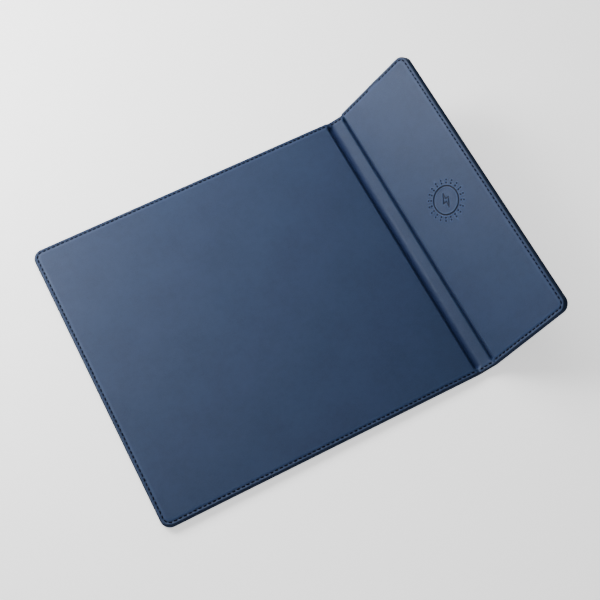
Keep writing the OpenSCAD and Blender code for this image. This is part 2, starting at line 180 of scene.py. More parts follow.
def filleted(points, radii, steps=7):
    """A polyline whose inner corners are rounded: an (n, 2) array."""
    out = [points[0]]
    for before, corner, after, r in zip(points, points[1:], points[2:], radii):
        p = np.array(corner, float)
        a = np.array(before, float) - p
        b = np.array(after, float) - p
        la, lb = np.linalg.norm(a), np.linalg.norm(b)
        a, b = a / la, b / lb
        half = math.acos(np.clip(a @ b, -1, 1)) / 2
        cut = min(r / math.tan(half), 0.48 * la, 0.48 * lb)
        r = cut * math.tan(half)
        centre = p + (a + b) / np.linalg.norm(a + b) * r / math.sin(half)
        start, end = p + a * cut - centre, p + b * cut - centre
        turn = math.atan2(start[0] * end[1] - start[1] * end[0], start @ end)
        for k in range(steps + 1):
            c, s = math.cos(turn * k / steps), math.sin(turn * k / steps)
            out.append((centre[0] + start[0] * c - start[1] * s, centre[1] + start[0] * s + start[1] * c))
    out.append(points[-1])
    return np.array(out, float)


def inner_section(length, thick, shoulder, feet, lip):
    """Top line from the middle of the spine out over the crease to a panel's far edge.

    feet are the distances from the crease to where the spine and the panel start to rise."""
    crease = spine_l / 2
    points = [
        (0, spine_t),
        (crease - shoulder, spine_t),
        (crease - feet[0], WEB_TOP),
        (crease + feet[1], WEB_TOP),
        (crease + feet[1] + (thick - WEB_TOP) * WALL_RUN, thick),
        (crease + length, thick)]
    return filleted(points, [4.5 * MM, 0.7 * MM, 0.4 * MM, lip], 8)


def edge_section(length, thick):
    """The same along the sewn side edges, where the creases are shallow."""
    crease = spine_l / 2
    points = [
        (0, EDGE_SPINE),
        (crease - 2 * EDGE_RISE, EDGE_SPINE),
        (crease, EDGE_CREASE),
        (crease + EDGE_RISE, thick),
        (crease + length, thick)]
    return filleted(points, [5 * MM, 3 * MM, 2 * MM], 8)


def spaced(a, b, step):
    """Evenly spaced values from a to b, about step apart, b left out."""
    n = max(1, round((b - a) / step))
    return list(a + (b - a) * np.arange(n) / n)


class Half:
    """One half of the skin, from the middle of the spine outwards over one panel.

    x is measured outwards from the middle of the spine along the flattened object. The crease's
    dark tone, a darker pressed web and painted shade, has the strength dark, and fades over the height flank on
    the spine's side."""

    def __init__(self, name, side, length, thick, shoulder, feet, lip, flank, dark):
        self.name, self.side, self.flank, self.dark = name, side, flank, dark
        self.section = inner_section(length, thick, shoulder, feet, lip)
        self.edge = edge_section(length, thick)
        self.crease = spine_l / 2
        self.end = self.crease + length
        run = np.hypot(*np.diff(self.section, axis=0).T)
        self.arc = np.concatenate([[0], np.cumsum(run)])

    def height(self, x, from_edge=1.0):
        """Height of the top face, at a distance from the side edge."""
        inner = np.interp(x, self.section[:, 0], self.section[:, 1])
        edge = np.interp(x, self.edge[:, 0], self.edge[:, 1])
        share = smooth((from_edge - 2.4 * MM) / (3.4 * MM))
        return edge + share * (inner - edge)

    def run(self, x):
        """Length along the surface from the middle of the spine."""
        return np.interp(x, self.section[:, 0], self.arc)

    def parting(self, x):
        """Height of the line where the top and bottom leatherette meet round the edge."""
        return axis_h + 0.25 * (self.height(x, 0.0) - WEB_TOP)

    def fold(self, x, y, z):
        """Flattened coordinates to the row frame at rest."""
        first = self.side < 0
        lean = spine_lean if first else flap_fold
        crease = crease_1 if first else crease_2
        dx, dz = x - self.crease, z - axis_h
        weight = smooth((dx + BLEND_SPINE) / (BLEND_SPINE + BLEND_PANEL))
        if first:                          # the mat stays, the spine turns up
            turn = (1 - weight) * lean
            dx = -dx
        else:
            turn = spine_lean + weight * lean
        c, s = np.cos(turn), np.sin(turn)
        return np.stack([crease[0] + dx * c - dz * s, y, crease[2] + dx * s + dz * c], -1)


pad_half = Half("pad", -1, pad_l, pad_t, shoulder=4.2 * MM, feet=(1.1 * MM, 0.7 * MM), lip=1.4 * MM,
                flank=1.9 * MM, dark=1.0)
flap_half = Half("flap", 1, flap_l, flap_t, shoulder=1.9 * MM, feet=(0.55 * MM, 0.65 * MM), lip=0.8 * MM,
                 flank=0.65 * MM, dark=0.78)


# ---------------------------------------------------------------- pressed mark and stitch channel

BOLT = np.array([(0.14, 0.5), (-0.5, -0.08), (-0.05, -0.08), (-0.14, -0.5), (0.5, 0.10), (0.07, 0.10)])
BOLT_SIZE = np.array([6.2 * MM, 11.0 * MM])
BOLT_LINE = 0.75 * MM


def polygon_distance(px, py, corners):
    """Signed distance to a polygon's outline, negative inside."""
    best = np.full(px.shape, 1e9)
    inside = np.zeros(px.shape, bool)
    for a, b in zip(corners, np.roll(corners, -1, axis=0)):
        e = b - a
        t = np.clip(((px - a[0]) * e[0] + (py - a[1]) * e[1]) / (e @ e), 0, 1)
        best = np.minimum(best, np.hypot(px - a[0] - t * e[0], py - a[1] - t * e[1]))
        crosses = (a[1] > py) != (b[1] > py)
        with np.errstate(divide="ignore", invalid="ignore"):
            at = a[0] + (py - a[1]) / (b[1] - a[1]) * e[0]
        inside ^= crosses & (px < at)
    return np.where(inside, -best, best)


def pressed(u, y):
    """The mark on the flap's face: the share pressed down, and the share that swells up beside it."""
    px, py = u - mark_x, y - mark_y
    soft = 0.2 * MM
    r = np.hypot(px, py)
    step = 2 * math.pi / DOT_PAIRS
    turn = np.arctan2(py, px)
    off = turn - np.round(turn / step) * step
    shapes = [(np.abs(r - RING_R) - RING_W / 2, 1.0),
              (np.abs(polygon_distance(px, py, BOLT * BOLT_SIZE)) - BOLT_LINE / 2, 0.8)]
    for ring, size in ((1.205 * RING_R, 0.62 * MM), (1.42 * RING_R, 0.58 * MM)):
        shapes.append((np.hypot(r * np.cos(off) - ring, r * np.sin(off)) - size, 1.0))
    down, swell = 0 * px, 0 * px
    for d, deep in shapes:
        down = np.maximum(down, deep * (1 - smooth((d + soft / 2) / soft)))
        swell = np.maximum(swell, deep * np.exp(-(((d - 0.55 * MM) / (0.3 * MM)) ** 2)))
    return down, swell * (1 - down)


def channel(d):
    """How far the stitches pull the face down at a distance from the edge."""
    narrow = 0.06 * MM * np.exp(-(((d - STITCH_IN) / (0.45 * MM)) ** 2))
    broad = 0.22 * MM * np.exp(-(((d - STITCH_IN) / (1.1 * MM)) ** 2))
    return narrow + broad


def painted_highlight(d):
    """Painted highlight: lighter leatherette colour on the rolled edge and on the padding's shoulder inside the
    stitches.
    """
    rolled = 0.18 * np.exp(-(((d - 1.3 * MM) / (0.45 * MM)) ** 2))
    shoulder = 0.5 * np.exp(-(((d - 3.9 * MM) / (0.8 * MM)) ** 2))
    return rolled + shoulder


def padding(height):
    """0 on the pressed web, 1 where the panel or the spine is padded."""
    return smooth((height - WEB_TOP) / (1.4 * MM))


def web_tone_and_shade(half, x, y, height):
    """How much of the creases' dark tone shows, a darker pressed web and painted shade: all of it on the web, less
    up its flanks.

    Towards the side with the port, painted shade also spreads up the spine's shoulder beside the mat."""
    flank = np.where(x < half.crease, half.flank, DARK_RISE)
    share = half.dark * (1 - smooth((height - WEB_TOP) / flank))
    # painted shade up the spine's shoulder beside the mat, stronger towards the port side
    if half.side < 0:
        shade = SHADE * smooth((y - SHADE_Y) / half_w) * smooth((x - SHADE_X) / SHADE_RUN)
        share = np.maximum(share, np.where(x < half.crease, shade, 0))
    return share


# ---------------------------------------------------------------- skins

RIM_IN = 0.25 * MM
PIPE_R = 1.2 * MM                         # radius of the rolled edge
BACK_PULL = 0.8                           # the stitches' pull on the bottom, as a share of the top's
# the face's rings by distance from the edge, closest where the stitches pull it down
FACE_D = np.array([1.62, 1.85, 2.03, 2.18, 2.3, 2.4, 2.5, 2.6, 2.7, 2.82, 2.97, 3.17, 3.45, 3.85, 4.4,
                   5.1, 6.0]) * MM
WALL_STEPS = 7
ARC_STEPS = 6


def top_profile(half, x):
    """Distances from the edge and heights of the top skin's rings, from the rim inwards."""
    h, p = half.height(x, 0.0), half.parting(x)
    low = p + 0.3 * MM
    r = np.minimum(np.minimum(PIPE_R, 0.3 * h), h - low)
    rings = [(RIM_IN + 0 * h, p + 0.02 * MM), (0.07 * MM + 0 * h, p + 0.13 * MM)]
    for k in range(WALL_STEPS):
        rings.append((0 * h, low + (h - r - low) * k / (WALL_STEPS - 1)))
    for k in range(1, ARC_STEPS + 1):
        a = math.pi / 2 * k / ARC_STEPS
        rings.append((r * (1 - math.cos(a)), h - r * (1 - math.sin(a))))
    for k in range(2 + WALL_STEPS, len(rings)):
        d, z = rings[k]
        rings[k] = (d, z - channel(d))
    for d in FACE_D:
        h = half.height(x, d)
        rings.append((d + 0 * h, h - channel(d) * padding(h)))
    return rings


def bottom_profile(half, x):
    """The same for the bottom skin."""
    p = half.parting(x)
    r = np.minimum(0.5 * MM, 0.5 * p)
    rings = [(RIM_IN + 0 * p, p - 0.02 * MM), (0.07 * MM + 0 * p, p - 0.13 * MM)]
    high = p - 0.3 * MM
    for k in range(4):
        rings.append((0 * p, high + (np.minimum(r, high - 0.02 * MM) - high) * k / 3))
    for k in range(1, 5):
        a = math.pi / 2 * k / 4
        rings.append((r * (1 - math.cos(a)), r * (1 - math.sin(a))))
    for d in FACE_D:
        rings.append((d + 0 * p, BACK_PULL * channel(d) * padding(half.height(x, d))))
    return rings


def grid_stops(half, marked):
    """The x values of a face's grid: fine over the crease and over the pressed mark."""
    inner = half.end - CORNER_R
    bends = list(half.section[1:-1, 0])
    over = bends[-1]
    stops = spaced(0, bends[0], 0.5 * MM) + bends
    if marked:
        a, b = half.crease + mark_x - MARK_R, half.crease + mark_x + MARK_R
        stops += spaced(over, a, 1.6 * MM)[1:] + spaced(a, b, MARK_STEP) + spaced(b, inner, 1.6 * MM)
    else:
        stops += spaced(over, inner, 3.2 * MM)[1:]
    return np.array(stops + [inner])


def row_stops(marked):
    """The y values of a face's grid."""
    inner = half_w - CORNER_R
    if not marked:
        return np.array(spaced(-inner, inner, 3.4 * MM) + [inner])
    a, b = mark_y - MARK_R, mark_y + MARK_R
    return np.array(spaced(-inner, a, 3 * MM) + spaced(a, b, MARK_STEP) + spaced(b, inner, 3 * MM) + [inner])


def edge_stops(half):
    """Points along the outline of one half, set in by the corner radius: x, y, outward x, outward y."""
    inner = half_w - CORNER_R
    step = STITCH_PITCH / 4
    over = half.crease + 5 * MM
    along = spaced(0, over, 0.5 * MM) + list(half.section[1:-1, 0])
    along += spaced(over, half.end - CORNER_R, step)
    along = np.unique(np.round(along, 8))
    out = [(x, -inner, 0.0, -1.0) for x in along]
    cx = half.end - CORNER_R
    turns = 16
    for k in range(turns + 1):
        a = -math.pi / 2 + math.pi / 2 * k / turns
        out.append((cx, -inner, math.cos(a), math.sin(a)))
    out += [(cx, y, 1.0, 0.0) for y in spaced(-inner, inner, step)[1:]]
    for k in range(turns + 1):
        a = math.pi / 2 * k / turns
        out.append((cx, inner, math.cos(a), math.sin(a)))
    out += [(x, inner, 0.0, 1.0) for x in along[::-1]]
    return np.array(out)


def zipped(a, b, pa, pb):
    """Triangles between two rows of vertices, matched by a rising measure along each."""
    faces, i, j = [], 0, 0
    while i < len(a) - 1 or j < len(b) - 1:
        if i < len(a) - 1 and j < len(b) - 1 and abs(pa[i + 1] - pb[j + 1]) < 1e-7:
            faces.append((a[i], a[i + 1], b[j + 1], b[j]))
            i, j = i + 1, j + 1
        elif j == len(b) - 1 or (i < len(a) - 1 and pa[i + 1] <= pb[j + 1]):
            faces.append((a[i], a[i + 1], b[j]))
            i += 1
        else:
            faces.append((a[i], b[j + 1], b[j]))
            j += 1
    return faces


def skin(name, half, top):
    """One leatherette skin over one half, as a mesh object with flat coordinates as its UVs."""
    marked = top and half.side > 0
    xs, ys = grid_stops(half, marked), row_stops(marked)
    nx, ny = len(xs), len(ys)
    gx, gy = (g.ravel() for g in np.meshgrid(xs, ys, indexing="ij"))
    pressing, swell = pressed(gx - half.crease, gy) if marked else (0 * gx, 0 * gx)
    gz = half.height(gx) - PRESS_D * pressing + SWELL_UP * swell if top else 0 * gx
    flat = [np.stack([gx, gy, gz], 1)]
    uv = [np.stack([half.run(gx) if top else gx, gy], 1)]
    # lip: painted highlight, a lighter colour on the swell beside the pressed mark and along the edges
    values = {"press": [pressing], "lip": [swell], "rim": [0 * gx],
              # crease: share of the crease's dark tone, a darker pressed web and painted shade
              "crease": [web_tone_and_shade(half, gx, gy, half.height(gx))]}
    index = np.arange(nx * ny).reshape(nx, ny)
    faces = [(index[i, j], index[i + 1, j], index[i + 1, j + 1], index[i, j + 1])
             for i in range(nx - 1) for j in range(ny - 1)]

    # rings of the edge, from the face outwards and down the wall
    stops = edge_stops(half)
    n = len(stops)
    base = (top_profile if top else bottom_profile)(half, stops[:, 0] + stops[:, 2] * CORNER_R)
    rings = []
    run_d, before = base[-1][0], base[-1]
    for k, (d, z) in enumerate(base[::-1]):
        run_d = run_d - np.hypot(before[0] - d, before[1] - z)
        before = (d, z)
        x = stops[:, 0] + stops[:, 2] * (CORNER_R - d)
        y = stops[:, 1] + stops[:, 3] * (CORNER_R - d)
        stretch = CORNER_R - run_d
        along = half.run(stops[:, 0]) if top else stops[:, 0]
        flat.append(np.stack([x, y, z], 1))
        uv.append(np.stack([along + stops[:, 2] * stretch, stops[:, 1] + stops[:, 3] * stretch], 1))
        values["press"].append(0 * x)
        values["lip"].append(painted_highlight(d))
        values["rim"].append(smooth((0.75 * MM - d) / (0.3 * MM)))
        values["crease"].append(web_tone_and_shade(half, x, y, half.height(x, d)))
        rings.append(nx * ny + n * k + np.arange(n))
    for inner, outer in zip(rings, rings[1:]):
        for i in range(n - 1):
            faces.append((inner[i], outer[i], outer[i + 1], inner[i + 1]))

    # the face's grid meets the innermost ring; both are measured along the same U
    end, width = xs[-1], ys[-1] - ys[0]
    path = [(index[i, 0], xs[i]) for i in range(nx)]
    path += [(index[nx - 1, j], end + ys[j] - ys[0]) for j in range(1, ny)]
    path += [(index[i, ny - 1], 2 * end + width - xs[i]) for i in range(nx - 2, -1, -1)]
    measure = np.where(stops[:, 3] == -1, stops[:, 0], end + stops[:, 1] - ys[0])
    measure = np.where(stops[:, 3] == 1, 2 * end + width - stops[:, 0], measure)
    faces += zipped(rings[0], [p[0] for p in path], measure, [p[1] for p in path])

    flat, uv = np.concatenate(flat), np.concatenate(uv)
    if half.side > 0:
        faces = without_port(faces, flat, half)
    outward = (half.side > 0) == top
    faces = [f if outward else f[::-1] for f in faces]
    placed = half.fold(flat[:, 0], flat[:, 1], flat[:, 2])
    values = {key: np.concatenate(rows) for key, rows in values.items()}
    return mesh_piece(name, placed, faces, uv * [half.side, 1], values)


def without_port(faces, flat, half):
    """Leaves out the wall's faces behind the port's bezel."""
    half_wide, half_high = 5.7 * MM, 1.72 * MM
    kept = []
    for f in faces:
        c = flat[list(f)].mean(0)
        if c[1] > half_w - 0.3 * MM:
            dx, dz = abs(c[0] - half.crease - port_x), abs(c[2] - port_z)
            across = max(0.0, dx - (half_wide - half_high))
            if math.hypot(across, dz) < half_high:
                continue
        kept.append(f)
    return kept


def mesh_piece(name, points, faces, uv=None, attributes=None):
    """A smooth mesh object from points and faces, without unused points, its open edges marked sharp."""
    used = np.zeros(len(points), bool)
    for f in faces:
        used[list(f)] = True
    new = np.cumsum(used) - 1
    faces = [tuple(int(new[i]) for i in f) for f in faces]
    mesh = bpy.data.meshes.new(name)
    mesh.from_pydata([tuple(p) for p in np.asarray(points)[used]], [], faces)
    if uv is not None:
        layer = mesh.uv_layers.new(name="flat")
        corners = np.zeros(len(mesh.loops), np.int32)
        mesh.loops.foreach_get("vertex_index", corners)
        layer.data.foreach_set("uv", np.asarray(uv)[used][corners].astype(np.float32).ravel())
    for key, values in (attributes or {}).items():
        attribute = mesh.attributes.new(key, "FLOAT", "POINT")
        attribute.data.foreach_set("value", np.asarray(values)[used].astype(np.float32))
    mesh.polygons.foreach_set("use_smooth", [True] * len(mesh.polygons))
    edge_of = np.zeros(len(mesh.loops), np.int32)
    mesh.loops.foreach_get("edge_index", edge_of)
    mesh.edges.foreach_set("use_edge_sharp", np.bincount(edge_of, minlength=len(mesh.edges)) == 1)
    mesh.update()
    piece = bpy.data.objects.new(name, mesh)
    bpy.context.scene.collection.objects.link(piece)
    return piece


# ---------------------------------------------------------------- thread

THREAD_R = 0.52 * MM
THREAD_SIDES = 8
THREAD_SLANT = math.tan(math.radians(6))
THREAD_FLAT = 0.75                        # a stitch's height as a share of its width
THREAD_OUT = 0.12 * MM                    # how far a stitch's middle lies above the top face
THREAD_SUNK = 0.15 * MM                   # and how far it is sunk into the bottom
THREAD_DIVE = 0.62 * MM                   # how far its ends go in


def seam_path(half, x0, skips_port):
    """Middles of the stitches round one panel: rows of x, y and the seam's direction."""
    r = CORNER_R - STITCH_IN
    cx, cy = half.end - CORNER_R, half_w - CORNER_R
    legs = [cx - x0, math.pi / 2 * r, 2 * cy, math.pi / 2 * r, cx - x0]
    total = sum(legs)
    n = round(total / STITCH_PITCH)
    rows = []
    for i in range(n):
        t = (i + 0.5) * total / n
        leg = 0
        while t > legs[leg]:
            t -= legs[leg]
            leg += 1
        a = t / r
        side = half_w - STITCH_IN
        rows.append([
            (x0 + t, -side, 1.0, 0.0),
            (cx + r * math.sin(a), -cy - r * math.cos(a), math.cos(a), math.sin(a)),
            (half.end - STITCH_IN, -cy + t, 0.0, 1.0),
            (cx + r * math.cos(a), cy + r * math.sin(a), -math.sin(a), math.cos(a)),
            (cx - t, side, -1.0, 0.0)][leg])
    if skips_port:
        rows = [p for p in rows
                if p[1] < half_w - 2 * STITCH_IN or abs(p[0] - half.crease - port_x) > PORT_GAP / 2]
    return rows


def stitches(name, runs, top):
    """All stitches of one face of one body as a mesh piece. runs is a list of (half, rows)."""
    steps = np.linspace(-1, 1, 11)
    around = 2 * math.pi * np.arange(THREAD_SIDES) / THREAD_SIDES
    points, faces, uv = [], [], []
    sign = 1 if top else -1
    for half, rows in runs:
        for x, y, tx, ty in rows:
            along = steps * STITCH_L / 2
            px = x + along * tx - along * THREAD_SLANT * ty
            py = y + along * ty + along * THREAD_SLANT * tx
            if top:
                base = half.height(px, STITCH_IN) - channel(STITCH_IN)
            else:
                base = BACK_PULL * channel(STITCH_IN) + 0 * px
            out = THREAD_OUT if top else -THREAD_SUNK
            pz = base + sign * (out - THREAD_DIVE * np.abs(steps) ** 5)
            path = np.stack([px, py, pz], 1)
            tangent = np.gradient(path, axis=0)
            tangent /= np.linalg.norm(tangent, axis=1)[:, None]
            side = np.array([-ty, tx, 0.0])
            normal = np.cross(tangent, side)
            thick = THREAD_R * (1 - 0.25 * np.abs(steps) ** 4)
            ring = (path[:, None] + side * (thick[:, None] * np.cos(around))[..., None]
                    + normal[:, None] * (THREAD_FLAT * thick[:, None] * np.sin(around))[..., None])
            first = sum(len(p) for p in points)
            m = len(steps)
            flat = ring.reshape(-1, 3)
            points.append(half.fold(flat[:, 0], flat[:, 1], flat[:, 2]))
            turn = np.repeat([around * THREAD_R], m, 0).ravel()
            uv.append(np.stack([np.repeat(along, THREAD_SIDES), turn], 1))
            for k in range(m - 1):
                for q in range(THREAD_SIDES):
                    w = (q + 1) % THREAD_SIDES
                    f = [first + k * THREAD_SIDES + q, first + k * THREAD_SIDES + w,
                         first + (k + 1) * THREAD_SIDES + w, first + (k + 1) * THREAD_SIDES + q]
                    faces.append(f if half.side > 0 else f[::-1])
            caps = [[first + q for q in range(THREAD_SIDES)][::-1],
                    [first + (m - 1) * THREAD_SIDES + q for q in range(THREAD_SIDES)]]
            faces += [c if half.side > 0 else c[::-1] for c in caps]
    return mesh_piece(name, np.concatenate(points), faces, np.concatenate(uv))


# ---------------------------------------------------------------- skin and thread pieces

def crease_line(origin, lean, before, after):
    """Start and end of the stretch that bends at a crease, in the row frame."""
    d = np.array([math.cos(lean), 0.0, math.sin(lean)])
    return tuple(origin - d * before), tuple(origin + d * after)


pad_bend = crease_line(crease_1, spine_lean / 2, BLEND_PANEL, BLEND_SPINE)
flap_bend = crease_line(crease_2, spine_lean + flap_fold / 2, BLEND_SPINE, BLEND_PANEL)

for half, bodies, bend in ((pad_half, ("mat", "spine"), pad_bend), (flap_half, ("spine", "flap"), flap_bend)):
    for top in (True, False):
        face = "top" if top else "bottom"
        piece = skin(f"{half.name}_{face}_leatherette", half, top)
        inside = piece.modifiers.new("thickness", "SOLIDIFY")
        inside.thickness = 0.5 * MM
        inside.offset = -1
        nodes = [f"{half.name}_{face}_cover"]
        if half is pad_half:
            nodes.append(f"spine_{face}_cover")
        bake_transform(piece)
        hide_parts(*nodes)
        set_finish(piece, "leatherette_face" if top else "leatherette_back")

for top in (True, False):
    face = "top" if top else "bottom"
    for half in (pad_half, flap_half):
        body = "mat" if half is pad_half else "flap"
        rows = seam_path(half, half.crease + SEAM_START, half is flap_half)
        piece = stitches(f"{half.name}_{face}_thread", [(half, rows)], top)
        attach(piece, body)
        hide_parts(f"{half.name}_{face}_stitches")
        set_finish(piece, "thread")
    side = half_w - STITCH_IN
    near = [(x, y, 1.0, 0.0) for y in (-side, side) for x in (0.0, SPINE_PITCH)]
    far = [(SPINE_PITCH, y, 1.0, 0.0) for y in (-side, side)]
    piece = stitches(f"spine_{face}_thread", [(pad_half, near), (flap_half, far)], top)
    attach(piece, "spine")
    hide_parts(f"spine_{face}_stitches")
    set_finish(piece, "thread")

# ---------------------------------------------------------------- port bezel

def stadium(wide, high, count):
    """Points round a slot of overall size wide by high, starting at +x."""
    r = high / 2
    out = []
    for k in range(count):
        a = 2 * math.pi * k / count
        c, s = math.cos(a), math.sin(a)
        out.append((math.copysign(wide / 2 - r, c) * (abs(c) > 1e-9) + r * c, r * s))
    return np.array(out)


def port_bezel():
    """Moulded surround of the port: a soft-edged frame round a slot with a chamfered mouth."""
    count = 48
    outer = stadium(bezel[:, 0].max() - bezel[:, 0].min(), bezel[:, 2].max() - bezel[:, 2].min(), count)
    inner = stadium(shell[:, 0].max() - shell[:, 0].min() + 0.06 * MM,
                    shell[:, 2].max() - shell[:, 2].min() + 0.06 * MM, count)
    deep = bezel[:, 1].min()
    face = half_w + 0.16 * MM
    rings = [(0.0, deep), (0.0, half_w - 0.3 * MM), (0.0, face - 0.1 * MM), (0.03, face - 0.03 * MM),
             (0.1, face), (0.55, face), (0.8, face - 0.04 * MM), (0.93, face - 0.2 * MM),
             (1.0, face - 0.5 * MM), (1.0, deep)]
    points = []
    for t, y in rings:
        line = outer * (1 - t) + inner * t
        flat = np.stack([flap_half.crease + port_x + line[:, 0], np.full(count, y), port_z + line[:, 1]], 1)
        points.append(flap_half.fold(flat[:, 0], flat[:, 1], flat[:, 2]))
    faces = []
    for k in range(len(rings)):
        a, b = k * count, ((k + 1) % len(rings)) * count
        for q in range(count):
            w = (q + 1) % count
            faces.append((a + q, b + q, b + w, a + w))
    piece = mesh_piece("port_surround", np.concatenate(points), faces)
    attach(piece, "flap")
    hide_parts("port_bezel")
    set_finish(piece, "case_plastic")
    return piece


port_surround = port_bezel()


# ---------------------------------------------------------------- materials

class Finish:
    """A node material: a Principled shader and short ways to put nodes in front of it."""

    def __init__(self, name, **values):
        self.material = bpy.data.materials.new(name)
        self.material.use_nodes = True
        self.nodes = self.material.node_tree.nodes
        self.links = self.material.node_tree.links
        self.shader = self.nodes["Principled BSDF"]
        for key, value in values.items():
            self.plug(self.shader.inputs[key.replace("_", " ").title().replace("Ior", "IOR")], value)

    def plug(self, socket, value):
        """Links a socket, or sets its value."""
        if isinstance(value, bpy.types.NodeSocket):
            self.links.new(value, socket)
        else:
            socket.default_value = value

    def add(self, kind, inputs, output=0, **settings):
        """Adds a node and returns one of its outputs."""
        node = self.nodes.new("ShaderNode" + kind)
        for key, value in settings.items():
            setattr(node, key, value)
        for key, value in inputs.items():
            self.plug(node.inputs[key], value)
        return node.outputs[output]

    def flat_mm(self):
        """The skin's flattened coordinates in millimetres."""
        uv = self.add("UVMap", {}, uv_map="flat")
        return self.add("VectorMath", {0: uv, "Scale": 1 / MM}, operation="SCALE")

    def object_mm(self, stretch=(1, 1, 1)):
        """The part's own coordinates in millimetres."""
        at = self.add("TexCoord", {}, "Object")
        return self.add("VectorMath", {0: at, 1: [k / MM for k in stretch]}, operation="MULTIPLY")

    def noise(self, where, per_mm, detail=2.0, roughness=0.5, output="Fac"):
        return self.add("TexNoise", {"Vector": where, "Scale": per_mm, "Detail": detail,
                                     "Roughness": roughness}, output)

    def cells(self, where, per_mm, feature="DISTANCE_TO_EDGE"):
        return self.add("TexVoronoi", {"Vector": where, "Scale": per_mm}, "Distance", feature=feature)

    def warped(self, where, per_mm, by):
        """Coordinates pushed about by a noise."""
        drift = self.noise(where, per_mm, output="Color")
        centred = self.add("VectorMath", {0: drift, 1: (0.5, 0.5, 0.5)}, operation="SUBTRACT")
        push = self.add("VectorMath", {0: centred, "Scale": by}, operation="SCALE")
        return self.add("VectorMath", {0: where, 1: push}, operation="ADD")

    def span(self, value, low, high, to_low=0.0, to_high=1.0):
        """A value's stretch from low to high, mapped smoothly."""
        return self.add("MapRange", {0: value, 1: low, 2: high, 3: to_low, 4: to_high},
                        interpolation_type="SMOOTHSTEP")

    def maths(self, operation, a, b):
        return self.add("Math", {0: a, 1: b}, operation=operation)

    def total(self, *weighted):
        """The sum of values times weights."""
        out = self.maths("MULTIPLY", *weighted[0])
        for value, weight in weighted[1:]:
            out = self.add("Math", {0: value, 1: weight, 2: out}, operation="MULTIPLY_ADD")
        return out

    def mix(self, share, a, b):
        """Colour a turning into colour b."""
        return self.add("Mix", {0: share, 6: rgba(a), 7: rgba(b)}, 2, data_type="RGBA")

    def attribute(self, name):
        return self.add("Attribute", {}, "Fac", attribute_name=name)

    def bump(self, height, depth):
        """Surface relief of a height from 0 to 1 over that depth in metres."""
        normal = self.add("Bump", {"Height": height, "Distance": depth, "Strength": 1.0})
        self.plug(self.shader.inputs["Normal"], normal)

    def colour(self, value):
        self.plug(self.shader.inputs["Base Color"], value)

    def rough(self, value):
        self.plug(self.shader.inputs["Roughness"], value)


def rgba(colour):
    """A colour of three numbers with its alpha; a socket is left as it is."""
    return colour if isinstance(colour, bpy.types.NodeSocket) else (*colour, 1.0)


def leatherette(name, low, high, pressed_tone, edge_tone, web_and_shade_colour, depth, roughness):
    """Coated leatherette: fine pebbled grain, faint mottling, darker where it is pressed or cut, a darker pressed
    web with painted shade in the creases, and painted highlights beside the pressed mark and along the rolled
    edges.
    """
    f = Finish(name, specular_ior_level=0.235)
    where = f.flat_mm()
    pebble = f.span(f.cells(f.warped(where, 1.1, 0.5), 1.75), 0.0, 0.26)
    fine = f.noise(where, 4.5, 3.0, 0.6)
    cloud = f.noise(where, 0.03, 3.0)
    patch = f.noise(where, 0.2, 2.0)
    speck = f.noise(where, 0.9, 2.0)
    tone = f.total((cloud, 0.55), (patch, 0.35), (speck, 0.35), (pebble, 0.25), (fine, 0.2))
    body = f.mix(f.span(tone, 0.53, 1.03), low, high)
    # painted highlight: the lip share turns the colour lighter
    body = f.mix(f.maths("MULTIPLY", f.attribute("lip"), 0.5), body, [1.9 * c for c in high])
    press = f.attribute("press")
    body = f.mix(press, body, pressed_tone)
    # the creases' dark tone: a darker pressed web, and painted shade up the flanks
    crease = f.attribute("crease")
    body = f.mix(crease, body, web_and_shade_colour)
    f.colour(f.mix(f.attribute("rim"), body, edge_tone))
    f.rough(f.total((fine, 0.14), (press, 0.1), (crease, 0.36), (1.0, roughness - 0.07)))
    f.bump(f.total((pebble, 0.7), (fine, 0.3)), depth)
    return f.material


def twisted_thread():
    """Bonded polyester thread with its plies turning round it."""
    f = Finish("thread", specular_ior_level=0.05)
    where = f.flat_mm()
    turned = f.add("Mapping", {"Vector": where, "Rotation": (0, 0, math.radians(52))})
    plies = f.add("TexWave", {"Vector": turned, "Scale": 0.62}, "Fac", bands_direction="X")
    fibre = f.noise(where, 9.0, 3.0)
    f.colour(f.mix(f.total((plies, 0.7), (fibre, 0.3)), (0.0010, 0.0018, 0.006), (0.0035, 0.0060, 0.018)))
    f.rough(f.span(fibre, 0.3, 0.7, 0.55, 0.75))
    f.bump(f.total((plies, 0.8), (fibre, 0.2)), 0.09 * MM)
    return f.material


def grained(name, base, change, per_mm, depth, roughness, metallic=0.0, stretch=(1, 1, 1), detail=3.0,
            specular=0.5):
    """A plain substance with its own grain: base colour, share it changes by, grain, gloss."""
    f = Finish(name, metallic=metallic, specular_ior_level=specular)
    where = f.object_mm(stretch)
    grain = f.noise(where, per_mm, detail, 0.6)
    cloud = f.noise(where, per_mm / 9, 2.0)
    tone = f.span(f.total((grain, 0.6), (cloud, 0.4)), 0.3, 0.7)
    f.colour(f.mix(tone, [c * (1 - change) for c in base], [min(1.0, c * (1 + change)) for c in base]))
    f.rough(f.span(cloud, 0.3, 0.7, roughness - 0.06, roughness + 0.06))
    f.bump(grain, depth)
    return f.material


def cellular(name, base, per_mm, depth):
    """Open foam: rounded cells, their hollows darkened with painted shade."""
    f = Finish(name, roughness=0.95, specular_ior_level=0.1)
    where = f.object_mm()
    cell = f.span(f.cells(f.warped(where, 0.8, 0.4), per_mm), 0.0, 0.45)
    # painted shade: darker towards the cells' hollows
    f.colour(f.mix(cell, [1.5 * c for c in base], [0.5 * c for c in base]))
    f.bump(f.maths("SUBTRACT", 1.0, cell), depth)
    return f.material


